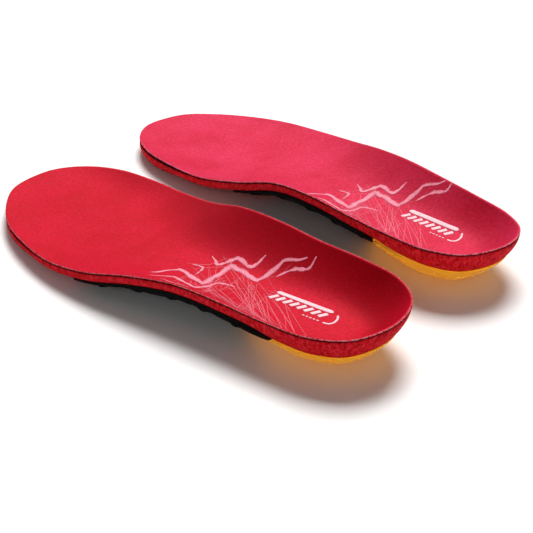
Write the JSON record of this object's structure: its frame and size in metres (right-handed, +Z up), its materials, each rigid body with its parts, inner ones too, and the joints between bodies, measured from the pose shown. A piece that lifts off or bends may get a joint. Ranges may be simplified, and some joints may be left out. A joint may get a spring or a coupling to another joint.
{
  "type": "pair of cushioned insoles",
  "caption": "Pair of shaped shoe insoles: cloth cover over a foam bed with a raised heel cup, rigid arch shell and gel heel pad; the forefoot flexes.",
  "frame": {"origin": "middle of the pair's bounding box, on the floor the pair lies on", "axes": "+X toward the heels, +Y from the left insole to the right insole, +Z up"},
  "size_m": [0.2918, 0.2238, 0.0302],
  "materials": {
    "cover_cloth": "brushed red cloth",
    "backing_film": "dark bonded backing",
    "bed_foam": "matte cut foam",
    "shell_plastic": "black satin",
    "pad_gel": "translucent amber gel"
  },
  "bodies": {
    "left_insole": {"left_cover_rear": "cover_cloth", "left_backing_rear": "backing_film", "left_foam_rear": "bed_foam", "left_arch_shell": "shell_plastic", "left_heel_pad": "pad_gel"},
    "left_forefoot": {"left_cover_front": "cover_cloth", "left_backing_front": "backing_film", "left_foam_front": "bed_foam"},
    "right_insole": {"right_cover_rear": "cover_cloth", "right_backing_rear": "backing_film", "right_foam_rear": "bed_foam", "right_arch_shell": "shell_plastic", "right_heel_pad": "pad_gel"},
    "right_forefoot": {"right_cover_front": "cover_cloth", "right_backing_front": "backing_film", "right_foam_front": "bed_foam"}
  },
  "joints": [
    {"name": "left_forefoot_flex", "type": "hinge", "parent": "left_insole", "child": "left_forefoot", "pos_m": [-0.0569, -0.05836, 0.0136], "axis": [-0.0436, 0.999, 0], "range_deg": [0, 40], "stiffness_Nm_per_rad": 0.3},
    {"name": "right_forefoot_flex", "type": "hinge", "parent": "right_insole", "child": "right_forefoot", "pos_m": [-0.0668, 0.05836, 0.0136], "axis": [0.0436, 0.999, 0], "range_deg": [0, 40], "stiffness_Nm_per_rad": 0.3},
    {"name": "pair_spread", "type": "slide", "parent": "left_insole", "child": "right_insole", "axis": [0, 1, 0], "range_m": [0, 0.15]}
  ]
}
